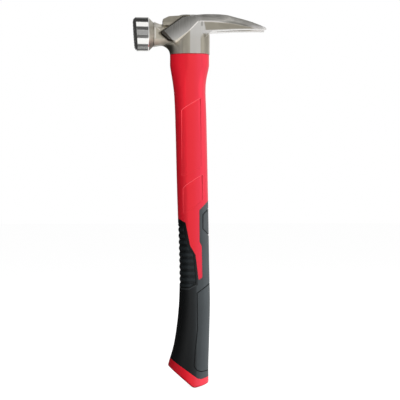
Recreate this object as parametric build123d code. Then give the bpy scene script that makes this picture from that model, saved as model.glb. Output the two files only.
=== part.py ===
from build123d import *
import os
from math import cos, radians, sin, tan

os.makedirs("parts", exist_ok=True)

# Rip claw framing hammer, standing upright: +Z runs up the handle to the head, the striking
# face looks along -X and the claws along +X. The origin is under the middle of the head's
# length, level with the lowest point of the butt.

# Overall sizes
overall_height = 404.0
head_length = 145.0
head_height = 42.5
handle_length = overall_height - head_height
overrun = 40.0

# Bell and milled striking face
bell_diameter = 36.8
bell_length = 15.5
bell_drop = 21.0
bell_edge_round = 1.2
bell_cone_length = 6.0
bell_cone_end_share = 0.68
face_toe_in = 4.0
face_chamfer = 3.0
mill_pitch = 3.0
mill_depth = 1.0
mill_rows = 10

# Neck between the bell and the eye
neck_height = 22.3
neck_width = 21.0
neck_drop = 0.65
neck_collar = 3.6
neck_collar_length = 6.5
neck_facet_share = 0.5
throat_length = 12.0
throat_width = 20.0
throat_root = 5.0
throat_sections = 9

# Eye: the body that the handle passes through
eye_x = -10.25
eye_length = 43.5
eye_width = 28.0
eye_hole_length = 22.5
eye_hole_width = 16.5
eye_hole_waist_share = 0.92
eye_waist_height_share = 0.45
eye_nose_share = 0.48
eye_flat_share = 0.30
eye_side_shares = [
    (0.130, -0.3),
    (0.130, 0.534),
    (0.315, 0.700),
    (0.380, 0.810),
    (0.650, 0.810),
    (0.650, -0.3),
]

# Cheek plates, drawn in shares of the head's length and height
cheek_width = 30.0
cheek_bevel = 1.8
cheek_shares = [
    (0.201, 0.534),
    (0.371, 0.953),
    (0.508, 0.988),
    (0.496, 0.807),
    (0.419, 0.529),
    (0.318, 0.264),
    (0.261, 0.318),
    (0.210, 0.466),
]

# Nail-setting block on top of the head, with its groove and magnet
block_width = 17.0
block_top_shares = [
    (0.226, 0.72),
    (0.226, 0.878),
    (0.269, 0.951),
    (0.369, 0.979),
    (0.431, 0.995),
    (0.560, 0.995),
    (0.560, 0.72),
]
groove_width = 6.0
groove_depth = 3.0
groove_end_share = 0.336
magnet_diameter = 5.0
magnet_length = 4.0
magnet_share = 0.283

# Claws: one row of shares per station from root to tip
claw_length = 74.5
claw_width = 30.0
gusset_width = 28.0
claw_station_shares = [0.0, 0.19, 0.405, 0.54, 0.725, 0.865, 1.0]
claw_top_shares = [0.987, 1.003, 0.992, 0.942, 0.865, 0.788, 0.695]
claw_shoulder_shares = [0.947, 0.963, 0.953, 0.905, 0.829, 0.757, 0.679]
claw_ridge_shares = [0.812, 0.809, 0.783, 0.755, 0.690, 0.661, 0.645]
claw_lip_shares = [0.792, 0.789, 0.765, 0.738, 0.677, 0.651, 0.639]
claw_under_shares = [0.570, 0.584, 0.605, 0.619, 0.628, 0.631, 0.631]
claw_crown_width_shares = [0.88, 0.83, 0.73, 0.66, 0.57, 0.51, 0.45]
claw_shoulder_width_shares = [1.0, 0.955, 0.83, 0.75, 0.65, 0.58, 0.51]
claw_ridge_width_shares = [1.0, 0.975, 0.94, 0.91, 0.875, 0.85, 0.82]
claw_side_width_shares = [0.933, 0.925, 0.905, 0.885, 0.86, 0.84, 0.815]
claw_sections = 14
gusset_shares = [(0.500, 0.807), (0.498, 0.62), (0.541, 0.42), (0.600, 0.60), (0.600, 0.807)]
slot_length = 54.0
slot_mouth_width = 11.5
slot_end_width = 2.6
slot_flare = 1.0

# Core and its bond
core_depth = 18.5
core_width = 12.5
core_foot_height = 27.0
core_foot_shift = 3.4
core_recess = 0.6

# Handle, drawn as ovals: shares of its depth and width, by height
handle_depth = 34.0
handle_width = 27.0
level_shares = [0.0, 0.066, 0.110, 0.166, 0.257, 0.360, 0.595, 0.830, 0.891, 0.9405, 0.9655]
depth_shares = [1.297, 1.290, 1.170, 1.070, 0.994, 0.959, 0.994, 1.006, 1.024, 1.147, 1.255]
shift_shares = [-0.045, -0.045, 0.028, 0.095, 0.153, 0.147, 0.087, 0.028, -0.003, -0.015, -0.006]
width_shares = [1.0, 1.0, 1.0, 1.0, 1.02, 1.0, 0.97, 0.97, 0.97, 0.99, 1.02]
nose_shares = [0.36, 0.36, 0.35, 0.34, 0.33, 0.32, 0.32, 0.32, 0.34, 0.42, 0.48]
flat_shares = [0.36, 0.36, 0.37, 0.38, 0.39, 0.40, 0.40, 0.40, 0.38, 0.33, 0.30]
handle_sections = 26
grip_thickness = 3.0

# Butt
butt_x = -5.5
butt_radius = 6.0
butt_front_angle = 41.3
butt_back_angle = 16.0
butt_edge = 2.0
face_down_share = 0.5
cap_seam_shares = [(-0.90, 0.1054), (0.205, 0.0292), (0.320, 0.0262), (0.90, 0.0385)]

# Outlines on the handle, in shares of its depth from the eye's axis and of its length
front_seam_shares = [(-0.90, 0.537), (-0.159, 0.493), (-0.016, 0.425), (0.153, 0.398), (0.255, 0.323)]
back_seam_shares = [(0.370, 0.330), (0.353, 0.423), (0.283, 0.436), (0.274, 0.531), (0.90, 0.590)]
pad_shares = [
    (-0.90, 0.523),
    (-0.225, 0.483),
    (-0.190, 0.457),
    (-0.045, 0.417),
    (0.092, 0.399),
    (0.165, 0.314),
    (-0.013, 0.301),
    (-0.90, 0.301),
]
upper_palm_shares = [(0.90, 0.567), (0.379, 0.518), (0.379, 0.475), (0.90, 0.426)]
lower_palm_shares = [
    (0.90, 0.332),
    (0.191, 0.284),
    (0.207, 0.178),
    (0.134, 0.112),
    (0.095, 0.064),
    (0.197, 0.051),
    (0.337, 0.047),
    (0.90, 0.053),
]
upper_panel_shares = [(-0.334, 0.832), (0.363, 0.872), (0.363, 0.660), (-0.334, 0.625)]
lower_panel_shares = [(-0.292, 0.599), (0.414, 0.643), (0.408, 0.560), (-0.284, 0.511)]
panel_depth = 0.9
panel_end_depth = 0.1
panel_wall_angle = 40.0
panel_wall_reach = 4.0
panel_sections = 6
palm_groove_width = 0.9
palm_groove_depth = 0.9

# Ribs of the finger grip
rib_pitch = 6.7
rib_depth = 1.1
rib_crest_share = 0.45
rib_top_share = 0.514
rib_count = 12

seam_z = handle_length
head_front = -head_length / 2
face_radius = bell_diameter / 2
bell_z = overall_height - bell_drop
bell_back = head_front + bell_length + face_chamfer / 2
eye_front = eye_x - eye_length / 2


def head_points(shares):
    """Points on the head's side view, from shares of its length and height."""
    return [(head_front + x * head_length, seam_z + z * head_height) for x, z in shares]


def handle_points(shares):
    """Points on the handle's side view, from shares of its depth and length."""
    return [(eye_x + x * handle_depth, z * handle_length) for x, z in shares]


def side_prism(points, width):
    """A side view outline, carried across the part to the given width."""
    outline = make_face(Polyline(*[(x, 0, z) for x, z in points], close=True))
    return extrude(outline, amount=width / 2, dir=(0, 1, 0), both=True)


def oval(x, z, depth, width, nose_share, flat_share):
    """A flat sided oval, level at height z: a long nose in front, a short tail behind."""
    front_flat = x - depth / 2 + nose_share * depth
    back_flat = front_flat + flat_share * depth
    tail_depth = x + depth / 2 - back_flat
    nose = EllipticalCenterArc((front_flat, 0), nose_share * depth, width / 2, 90, arc_size=180)
    tail = EllipticalCenterArc((back_flat, 0), tail_depth, width / 2, -90, arc_size=180)
    low_flat = Line((front_flat, -width / 2), (back_flat, -width / 2))
    high_flat = Line((back_flat, width / 2), (front_flat, width / 2))
    outline = make_face([nose, low_flat, tail, high_flat])
    return Pos(0, 0, z) * outline


def smooth_value(place, levels, table):
    """The table's value at a place along its levels, by a smooth curve through them."""
    last = len(levels) - 1
    i = 0
    while i < last - 1 and place > levels[i + 1]:
        i += 1
    slopes = []
    for k in (i, i + 1):
        low = max(k - 1, 0)
        high = min(k + 1, last)
        slopes.append((table[high] - table[low]) / (levels[high] - levels[low]))
    span = levels[i + 1] - levels[i]
    t = (place - levels[i]) / span
    start = (2 * t**3 - 3 * t**2 + 1) * table[i] + (t**3 - 2 * t**2 + t) * span * slopes[0]
    end = (3 * t**2 - 2 * t**3) * table[i + 1] + (t**3 - t**2) * span * slopes[1]
    return start + end


def handle_section(z, inset):
    """The handle's oval at height z, drawn in by the inset."""
    share = z / handle_length
    depth = smooth_value(share, level_shares, depth_shares) * handle_depth
    width = smooth_value(share, level_shares, width_shares) * handle_width
    shift = smooth_value(share, level_shares, shift_shares) * handle_depth
    nose_share = smooth_value(share, level_shares, nose_shares)
    flat_share = smooth_value(share, level_shares, flat_shares)
    return oval(eye_x + shift, z, depth - 2 * inset, width - 2 * inset, nose_share, flat_share)


def handle_form(inset):
    """The whole handle below the collar as one smooth form, drawn in by the inset."""
    collar_low = level_shares[-1] * handle_length
    steps = range(handle_sections + 1)
    return loft([handle_section(i * collar_low / handle_sections, inset) for i in steps])


def butt_profile():
    """Side view of the handle that ends in the oblique butt."""
    front = radians(butt_front_angle)
    back = radians(butt_back_angle)
    front_tangent = (butt_x - butt_radius * sin(front), 0, butt_radius * (1 - cos(front)))
    back_tangent = (butt_x + butt_radius * sin(back), 0, butt_radius * (1 - cos(back)))
    reach = handle_depth + overrun
    front_low = (front_tangent[0] - reach, 0, front_tangent[2] + reach * tan(front))
    back_low = (back_tangent[0] + reach, 0, back_tangent[2] + reach * tan(back))
    front_top = (front_low[0], 0, overall_height)
    back_top = (back_low[0], 0, overall_height)
    rim = Polyline(back_tangent, back_low, back_top, front_top, front_low, front_tangent)
    heel = ThreePointArc(front_tangent, (butt_x, 0, 0), back_tangent)
    outline = make_face(rim + heel)
    return extrude(outline, amount=handle_depth, dir=(0, 1, 0), both=True)


def butt_rim(form):
    """Edges round the oblique underside of the butt."""
    under = form.faces().filter_by(lambda face: face.normal_at().Z < -face_down_share)
    edges = ShapeList(edge for face in under for edge in face.edges())
    return [edge for edge in edges if sum(edge.is_same(other) for other in edges) == 1]


def make_bell():
    """Polished bell with its toed-in, chamfered and milled striking face."""
    cone_radius = face_radius * bell_cone_end_share
    cone_end = bell_back + bell_cone_length
    profile = Polyline(
        (head_front - face_chamfer, 0),
        (head_front - face_chamfer, face_radius),
        (bell_back, face_radius),
        (cone_end, cone_radius),
        (cone_end + neck_collar, 0),
        close=True,
    )
    outline = make_face(profile)
    back_corner = outline.vertices().sort_by(Axis.Y)[-2:].sort_by(Axis.X)[-1]
    outline = fillet(back_corner, bell_edge_round)
    bell = revolve(outline, Axis.X)
    lean = face_radius * tan(radians(face_toe_in)) - face_chamfer * sin(radians(face_toe_in))
    normal = (-cos(radians(face_toe_in)), 0, -sin(radians(face_toe_in)))
    face_plane = Plane(origin=(head_front + lean, 0, 0), x_dir=(0, 1, 0), z_dir=normal)
    bell -= face_plane * Box(overrun * 2, overrun * 2, overrun, align=(Align.CENTER, Align.CENTER, Align.MIN))
    rim = bell.faces().sort_by(Axis.X)[0].edges()
    bell = chamfer(rim, face_chamfer)
    tooth_gap = Polyline(
        (0, -mill_depth),
        (2 * mill_depth, mill_depth),
        (-2 * mill_depth, mill_depth),
        close=True,
    )
    groove = extrude(make_face(tooth_gap), amount=face_radius, both=True)
    rows = GridLocations(mill_pitch, 0, mill_rows, 1)
    across = [face_plane * Rot(90, 0, 0) * place * groove for place in rows]
    upright = [face_plane * Rot(0, 0, 90) * Rot(90, 0, 0) * place * groove for place in rows]
    bell = bell - across - upright
    return Pos(0, 0, bell_z) * bell


def neck_section(x, z, height, width):
    """Octagonal section of the neck at one place along the head."""
    h = height / 2
    w = width / 2
    s = neck_facet_share
    corners = [(w * s, h), (w, h * s), (w, -h * s), (w * s, -h)]
    corners += [(-y, up) for y, up in reversed(corners)]
    return make_face(Polyline(*[(x, y, z + up) for y, up in corners], close=True))


def make_neck():
    """Faceted neck with the flared end that grows out of the bell's cone."""
    start = bell_back + bell_cone_length
    z = bell_z - neck_drop
    flared = neck_section(start, bell_z, neck_height + neck_collar, neck_width + neck_collar)
    slim = neck_section(start + neck_collar_length, z, neck_height, neck_width)
    deep = neck_section(eye_x, z, neck_height, neck_width)
    return loft([flared, slim], ruled=True) + loft([slim, deep], ruled=True)


def make_throat():
    """Flare of the eye's nose that rises in a concave curve to the underside of the neck."""
    drop = bell_z - neck_drop - neck_height / 2 - seam_z
    sections = []
    for i in range(throat_sections + 1):
        turn = radians(90) * i / throat_sections
        reach = throat_length * (1 - cos(turn))
        length = eye_length + reach
        nose_share = (eye_nose_share * eye_length + reach) / length
        flat_share = eye_flat_share * eye_length / length
        width = eye_width - (eye_width - throat_width) * (1 - cos(turn))
        height = seam_z + drop * sin(turn)
        sections.append(oval(eye_x - reach / 2, height, length, width, nose_share, flat_share))
    sections.append(Pos(0, 0, throat_root) * sections[-1])
    return loft(sections, ruled=True)


def make_claws():
    """Pair of nearly straight claws with bevelled backs, before the slot is cut."""
    sections = []
    root = head_length / 2 - claw_length
    for i in range(claw_sections + 1):
        station = i / claw_sections
        x = root + station * claw_length
        corners = [
            (claw_crown_width_shares, claw_top_shares),
            (claw_shoulder_width_shares, claw_shoulder_shares),
            (claw_ridge_width_shares, claw_ridge_shares),
            (claw_side_width_shares, claw_lip_shares),
            (claw_side_width_shares, claw_under_shares),
        ]
        right = []
        for width_table, height_table in corners:
            half = claw_width / 2 * smooth_value(station, claw_station_shares, width_table)
            z = seam_z + head_height * smooth_value(station, claw_station_shares, height_table)
            right.append((half, z))
        left = [(-y, z) for y, z in reversed(right)]
        sections.append(make_face(Polyline(*[(x, y, z) for y, z in right + left], close=True)))
    return loft(sections)


def slot_outline(z, extra):
    """V shaped nail slot at one height, widened by the extra on each side."""
    tip = head_length / 2
    end_x = tip - slot_length + slot_end_width / 2
    end_half = slot_end_width / 2 + extra
    mouth_half = slot_mouth_width / 2 + extra
    spread = (mouth_half - end_half) / (tip - end_x)
    far_half = mouth_half + spread * overrun
    walls = Polyline((end_x, end_half), (tip + overrun, far_half), (tip + overrun, -far_half), (end_x, -end_half))
    close = ThreePointArc((end_x, end_half), (end_x - end_half, 0), (end_x, -end_half))
    return Pos(0, 0, z) * make_face(walls + close)


def make_nail_slot():
    """Slot between the claws, wider on the handle's side where the nail's head sits."""
    low = seam_z + min(claw_under_shares) * head_height
    high = overall_height + slot_flare
    return loft([slot_outline(low, slot_flare), slot_outline(high, 0)], ruled=True)


def eye_hole_form():
    """Tapered hole through the eye, narrowest near its middle so that the bond locks."""
    waist_z = seam_z + eye_waist_height_share * head_height
    waist = eye_hole_waist_share
    top_x = core_x(overall_height)
    low = Pos(core_x(seam_z), 0, seam_z) * SlotOverall(eye_hole_length, eye_hole_width)
    middle = Pos(core_x(waist_z), 0, waist_z) * SlotOverall(eye_hole_length * waist, eye_hole_width * waist)
    high = Pos(top_x, 0, overall_height) * SlotOverall(eye_hole_length, eye_hole_width)
    return loft([low, middle], ruled=True) + loft([middle, high], ruled=True)


def core_x(z):
    """Place of the core's axis at height z: it leans a little towards the face."""
    return eye_x + core_foot_shift * (overall_height - z) / (overall_height - core_foot_height)


def core_form(foot, top):
    """The core's oval rod between two heights."""
    low = Pos(core_x(foot), 0, foot) * SlotOverall(core_depth, core_width)
    high = Pos(core_x(top), 0, top) * SlotOverall(core_depth, core_width)
    return loft([low, high], ruled=True)


def make_block():
    """Nail-setting block: groove for the nail, shoulder behind it and magnet pocket."""
    block = side_prism(head_points(block_top_shares), block_width)
    floor = overall_height - groove_depth
    end = head_front + groove_end_share * head_length
    radius = groove_width / 2
    channel = Pos(end, 0, floor + radius) * Rot(0, -90, 0) * Cylinder(radius, overrun, align=(Align.CENTER, Align.CENTER, Align.MIN))
    above = Pos(end, 0, floor + radius) * Box(overrun, groove_width, radius, align=(Align.MAX, Align.CENTER, Align.MIN))
    return block, channel + above


def make_magnet():
    """Round magnet, sunk level with the lowest line of the nail groove."""
    x = head_front + magnet_share * head_length
    top = overall_height - groove_depth
    return Pos(x, 0, top - magnet_length / 2) * Cylinder(magnet_diameter / 2, magnet_length)


def make_head():
    """The one-piece forged head."""
    eye_section = oval(eye_x, seam_z, eye_length, eye_width, eye_nose_share, eye_flat_share)
    body = extrude(eye_section, amount=head_height) & side_prism(head_points(eye_side_shares), eye_width)
    cheeks = side_prism(head_points(cheek_shares), cheek_width)
    side_faces = cheeks.faces().filter_by(Axis.Y)
    cheeks = chamfer(side_faces.edges(), cheek_bevel)
    block, nail_groove = make_block()
    gusset = side_prism(head_points(gusset_shares), gusset_width)
    head = body + cheeks + make_neck() + make_throat() + make_claws() + gusset + block + make_bell()
    head = head - nail_groove - make_magnet() - make_nail_slot() - eye_hole_form()
    return head


def panel_zone(points, side):
    """Panel outline on one side of the handle, with walls that slope in towards its floor."""
    outline = make_face(Polyline(*[(x, 0, z) for x, z in points], close=True))
    slope = tan(radians(panel_wall_angle))
    wide = offset(outline, panel_wall_reach * slope, kind=Kind.INTERSECTION)
    slim = offset(outline, -panel_wall_reach * slope, kind=Kind.INTERSECTION)
    far = side * (handle_width / 2 + panel_wall_reach)
    near = side * (handle_width / 2 - panel_wall_reach)
    return loft([Pos(0, near, 0) * slim, Pos(0, far, 0) * wide], ruled=True)


def panel_recess(outer, shares):
    """Recess on both sides, deepest at its upper step, that runs out towards its lower end."""
    points = handle_points(shares)
    low = min(z for x, z in points) - panel_wall_reach
    high = max(z for x, z in points) + panel_wall_reach
    sections = []
    for i in range(panel_sections + 1):
        inset = panel_end_depth + (panel_depth - panel_end_depth) * i / panel_sections
        sections.append(handle_section(low + (high - low) * i / panel_sections, inset))
    zones = panel_zone(points, 1) + panel_zone(points, -1)
    return (outer & zones) - loft(sections)


def groove_ring(shares):
    """Outline groove of a palm panel, before it is limited to the groove's depth."""
    points = handle_points(shares)
    outline = make_face(Polyline(*points, close=True))
    inner = offset(outline, -palm_groove_width, kind=Kind.INTERSECTION)
    ring = extrude(outline - inner, amount=handle_width, both=True)
    return Rot(90, 0, 0) * ring


def ribbed_form():
    """Stack of rounded ribs on the handle's form, as one solid."""
    sections = []
    top = rib_top_share * handle_length
    for i in range(rib_count):
        low = top - (rib_count - i) * rib_pitch
        crest = rib_pitch * rib_crest_share
        shoulder = (rib_pitch - crest) / 2
        sections.append(handle_section(low, rib_depth))
        sections.append(handle_section(low + shoulder, 0))
        sections.append(handle_section(low + shoulder + crest, 0))
    sections.append(handle_section(top, rib_depth))
    return loft(sections, ruled=True)


def make_handle_pieces():
    """Jacket, grip, finger grip and butt cap, all cut from the one handle form."""
    outer = handle_form(0) & butt_profile()
    outer = fillet(butt_rim(outer), butt_edge)
    inner = handle_form(grip_thickness)
    collar_low = level_shares[-1] * handle_length
    collar = extrude(handle_section(collar_low, 0), amount=seam_z - collar_low)
    cap_line = handle_points(cap_seam_shares)
    below = [(cap_line[-1][0], -overrun), (cap_line[0][0], -overrun)]
    cap_zone = side_prism(cap_line + below, handle_depth * 2)
    grip_line = handle_points(front_seam_shares) + handle_points(back_seam_shares)
    low_corners = [(grip_line[-1][0], -overrun), (grip_line[0][0], -overrun)]
    grip_zone = side_prism(grip_line + low_corners, handle_depth * 2)
    pad_zone = side_prism(handle_points(pad_shares), handle_depth * 2)
    core = core_form(core_foot_height, overall_height - core_recess)

    cap = outer & cap_zone
    shaft = outer - cap_zone
    skin = (shaft & grip_zone) - inner
    jacket = (shaft - skin) + collar - core
    jacket = jacket - panel_recess(outer, upper_panel_shares) - panel_recess(outer, lower_panel_shares)
    pad = (ribbed_form() & pad_zone) - inner
    groove_skin = handle_form(0) - handle_form(palm_groove_depth)
    grip = skin - pad_zone
    for shares in (upper_palm_shares, lower_palm_shares):
        grip = grip - (groove_ring(shares) & groove_skin)
    return jacket, grip, pad, cap, core


jacket, grip, finger_grip, butt_cap, core = make_handle_pieces()
pieces = {
    "head": make_head(),
    "eye_resin": eye_hole_form() - core_form(seam_z - core_recess, overall_height),
    "nail_set_magnet": make_magnet(),
    "fibreglass_core": core,
    "jacket": jacket,
    "grip": grip,
    "finger_grip": finger_grip,
    "butt_cap": butt_cap,
}
for name, piece in pieces.items():
    export_step(piece, "parts/" + name + ".step")
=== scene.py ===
import math
from contextlib import contextmanager
from functools import partialmethod

import bmesh
import bpy
from mathutils import Matrix, Vector


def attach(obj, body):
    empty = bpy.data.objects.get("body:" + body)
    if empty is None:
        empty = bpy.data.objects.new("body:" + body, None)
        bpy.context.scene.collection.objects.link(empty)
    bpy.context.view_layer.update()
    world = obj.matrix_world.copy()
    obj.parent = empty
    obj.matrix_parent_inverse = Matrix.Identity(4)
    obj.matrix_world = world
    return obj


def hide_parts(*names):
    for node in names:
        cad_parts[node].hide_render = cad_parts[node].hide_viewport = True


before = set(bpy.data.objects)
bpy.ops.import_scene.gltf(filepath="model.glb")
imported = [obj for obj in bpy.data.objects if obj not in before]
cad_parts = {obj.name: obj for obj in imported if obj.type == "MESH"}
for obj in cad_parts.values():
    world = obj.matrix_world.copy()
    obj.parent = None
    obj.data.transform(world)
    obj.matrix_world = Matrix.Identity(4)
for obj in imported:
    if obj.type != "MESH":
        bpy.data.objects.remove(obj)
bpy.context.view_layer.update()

bl_info = {
    "name": "Framing hammer",
    "version": (1, 0, 0),
    "blender": (4, 5, 0),
    "location": "3D View > Sidebar > Hammer",
    "description": "Dresses a rip claw framing hammer: forged head, moulded jacket, rubber grip and ribbed finger grip",
    "category": "Object",
}

MM = 0.001

# All measures are in millimetres, and all angles in degrees, unless a comment says otherwise

# The handle, as in the part's source: its height at the head's seam, its depth, width and middle line, then its ovals
# by height: levels in shares of the seam's height, depths, shifts and widths in shares of the handle's own, and noses
# in shares of the oval's depth
SEAM = 361.5
HANDLE_DEPTH = 34.0
HANDLE_WIDTH = 27.0
HANDLE_X = -10.25
LEVELS = (0.0, 0.066, 0.110, 0.166, 0.257, 0.360, 0.595, 0.830, 0.891, 0.9405, 0.9655)
DEPTHS = (1.297, 1.290, 1.170, 1.070, 0.994, 0.959, 0.994, 1.006, 1.024, 1.147, 1.255)
SHIFTS = (-0.045, -0.045, 0.028, 0.095, 0.153, 0.147, 0.087, 0.028, -0.003, -0.015, -0.006)
WIDTHS = (1.0, 1.0, 1.0, 1.0, 1.02, 1.0, 0.97, 0.97, 0.97, 0.99, 1.02)
NOSES = (0.36, 0.36, 0.35, 0.34, 0.33, 0.32, 0.32, 0.32, 0.34, 0.42, 0.48)

# The finger grip: its rear edge in side view from the bottom up, and its top, in shares like the handle's; its
# thickness; the line of its lower hem; the share at which distances from its back and top count for the ribs; the
# columns on each side, rows and steps round the nose of its mesh; and the top, pitch and depth of its ribs
PAD_EDGE = (
    (-0.013, 0.301), (0.165, 0.314), (0.092, 0.399), (-0.045, 0.417), (-0.190, 0.457), (-0.225, 0.483), (-0.90, 0.523),
)
PAD_TOP = 0.491
PAD_THICKNESS = 2.6
PAD_HEM = ((-11.7, 106.8), (-5.2, 110.3))
PAD_NEARER = 0.9
PAD_COLUMNS = 22
PAD_ROWS = 170
ARC_STEPS = 60
RIB_TOP = 184.0
RIB_PITCH = 6.7
RIB_DEPTH = 0.85

# The toed-in striking face: its middle in metres and its outward normal
TOE_IN = 4.0
FACE_MIDDLE = Vector((-71.42, 0.0, 383.0)) * MM
FACE_OUT = Vector((-math.cos(math.radians(TOE_IN)), 0.0, -math.sin(math.radians(TOE_IN))))

# Its teeth: their depth, the floor that they stand on and that the head is cut down to, and the steps across a tooth
TOOTH_DEPTH = 1.0
TOOTH_FLOOR = 1.02
TOOTH_STEPS = 12

# Rounds on the edges of the hard pieces and of the rubber, the smallest angle that is rounded, the smallest that stays
# sharp, and the largest that is taken as flat
HARD_ROUND = 0.35
SOFT_ROUND = 0.3
ROUNDED_ANGLE = 24.0
SHARP_ANGLE = 30.0
FLAT_ANGLE = 0.6

# Distances at which mesh points are merged: in a CAD node's copy and in the finger grip
MERGE_COPY = 0.002
MERGE_PAD = 0.02
TINY = 1e-9

# Height of the claws' side ridge and of their underside along the head, and of the painted highlight line on the neck
CLAW_RIDGE = ((-2.0, 396.0), (12.0, 395.9), (28.0, 394.8), (38.0, 393.6), (52.0, 390.8), (62.0, 389.6), (72.5, 388.9))
CLAW_UNDER = ((-2.0, 385.7), (12.0, 386.3), (28.0, 387.2), (38.0, 387.8), (52.0, 388.2), (72.5, 388.3))
NECK_HIGHLIGHT = 391.2

# How much of the handle's colours painted shade keeps, from its front to its back
RED_PAINTED_SHADE = ((-26.0, 1.0), (-20.0, 0.96), (-15.0, 0.80), (-6.0, 0.82), (0.5, 0.85), (2.5, 0.79), (7.0, 0.73))
GREY_PAINTED_SHADE = (
    (-26.0, 0.04), (-15.0, 0.06), (-12.0, 0.07), (-8.5, 0.13), (-5.5, 0.22), (-4.2, 0.34), (-3.4, 0.59), (2.0, 0.77),
    (8.0, 0.88),
)

WHITE = (1.0, 1.0, 1.0)
BLACK = (0.0, 0.0, 0.0)
# Painted shade round where the finger grip sits
SEAT_SHADE = (0.004, 0.005, 0.005)


class Steel:
    """Colours on the head, from the darkest to the lightest."""
    # Painted shadow, in the corner under the cheek plates' front and along their front edge
    scale = (0.07, 0.055, 0.04)
    patch = (0.12, 0.11, 0.09)
    # Painted shade on the upper part of the nail block
    block = (0.14, 0.13, 0.10)
    # Painted shadow below the cheek plates' front
    throat_shadow = (0.16, 0.15, 0.12)
    # Painted shade under the neck and the cone
    underside = (0.16, 0.15, 0.13)
    # Painted shade on the top edge at the claws' root
    cap_shade = (0.16, 0.15, 0.14)
    # Painted shade along a crease in the claws
    trough_shade = (0.17, 0.165, 0.14)
    # Painted shade in the groove where the claws meet the eye
    hollow_shade = (0.30, 0.29, 0.26)
    # The lit end of the claws' painted shading, low on their crown
    claw_side = (0.68, 0.66, 0.62)
    # The lit end of the cheek plates' painted shading
    cheek = (0.74, 0.725, 0.70)
    grinding = (0.80, 0.78, 0.74)
    # Light grinding under the claws, and a painted highlight in the root's V
    land = (0.88, 0.865, 0.84)
    # Wear and painted highlight on the edges
    worn_and_highlit = (0.90, 0.88, 0.84)
    # Painted highlight on the eye's flats
    facet_highlight = (0.92, 0.90, 0.86)
    eye_front = (0.95, 0.90, 0.80)
    # Painted highlight towards the claws' points
    claw_tip_highlight = (0.95, 0.93, 0.90)
    # Painted highlight on the cone's top
    cone = (0.96, 0.94, 0.90)
    # Painted highlight lines on the neck
    neck_highlight = (1.0, 0.96, 0.88)
    # Painted highlight on the claws' ridge and towards their points
    ridge_highlight = (1.0, 0.97, 0.95)


class Red:
    """Colours on the jacket and the butt, beside the handle's own red."""
    # Painted pink highlight on the handle's back
    back = (0.82, 0.045, 0.085)
    # Wear and painted highlight on the edges
    worn_and_highlit = (1.0, 0.10, 0.10)
    # Painted highlight on the butt's back
    butt_highlight = (1.0, 0.12, 0.18)
    # Painted highlight on the panels' walls
    lip_highlight = (1.0, 0.14, 0.17)


def scaled(colour, share):
    """A colour times a share."""
    return [c * share for c in colour]


# Node trees

class Wire:
    """An output socket that can be used in ordinary sums: each sum adds a Math node."""

    def __init__(self, board, socket):
        self.board = board
        self.socket = socket

    def math(self, operation, *values):
        """One Math node with this value first."""
        return self.board.add("ShaderNodeMath", dict(enumerate((self, *values))), operation=operation)

    __add__ = __radd__ = partialmethod(math, "ADD")
    __sub__ = partialmethod(math, "SUBTRACT")
    __mul__ = partialmethod(math, "MULTIPLY")
    __truediv__ = partialmethod(math, "DIVIDE")
    __pow__ = partialmethod(math, "POWER")
    __gt__ = partialmethod(math, "GREATER_THAN")
    __lt__ = partialmethod(math, "LESS_THAN")
    least = partialmethod(math, "MINIMUM")
    most = partialmethod(math, "MAXIMUM")

    def __rsub__(self, other):
        return self * -1.0 + other

    def ramp(self, low, high, to_low=0.0, to_high=1.0):
        """The value, taken smoothly from one range to another."""
        return self.board.add(
            "ShaderNodeMapRange",
            {"Value": self, "From Min": low, "From Max": high, "To Min": to_low, "To Max": to_high},
            interpolation_type="SMOOTHSTEP",
        )

    def between(self, out_low, in_low, in_high, out_high):
        """1 from in_low to in_high, down to 0 at the two outer values."""
        return self.ramp(out_low, in_low) * self.ramp(out_high, in_high)

    def near(self, full, gone):
        """1 while the value is within full of 0, down to 0 at gone."""
        return self.math("ABSOLUTE").ramp(gone, full)


class Board:
    """A node tree under construction."""

    def __init__(self, tree):
        self.tree = tree
        self.tree.nodes.clear()

    def add(self, kind, sockets=None, out=0, **settings):
        """One node: its settings first, then the values or links of its sockets. Gives one output as a wire."""
        node = self.tree.nodes.new(kind)
        for name, value in settings.items():
            setattr(node, name, value)
        for name, value in (sockets or {}).items():
            if isinstance(value, Wire):
                self.tree.links.new(value.socket, node.inputs[name])
            else:
                node.inputs[name].default_value = value
        return Wire(self, node.outputs[out]) if node.outputs else None

    def split(self, vector):
        """The three parts of a vector."""
        outputs = self.add("ShaderNodeSeparateXYZ", {"Vector": vector}).socket.node.outputs
        return [Wire(self, outputs[i]) for i in range(3)]

    def rays(self, *kinds):
        """1 for rays of each kind, such as Camera or Glossy, and 0 for others."""
        outputs = self.add("ShaderNodeLightPath").socket.node.outputs
        return [Wire(self, outputs[f"Is {kind} Ray"]) for kind in kinds]


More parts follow.
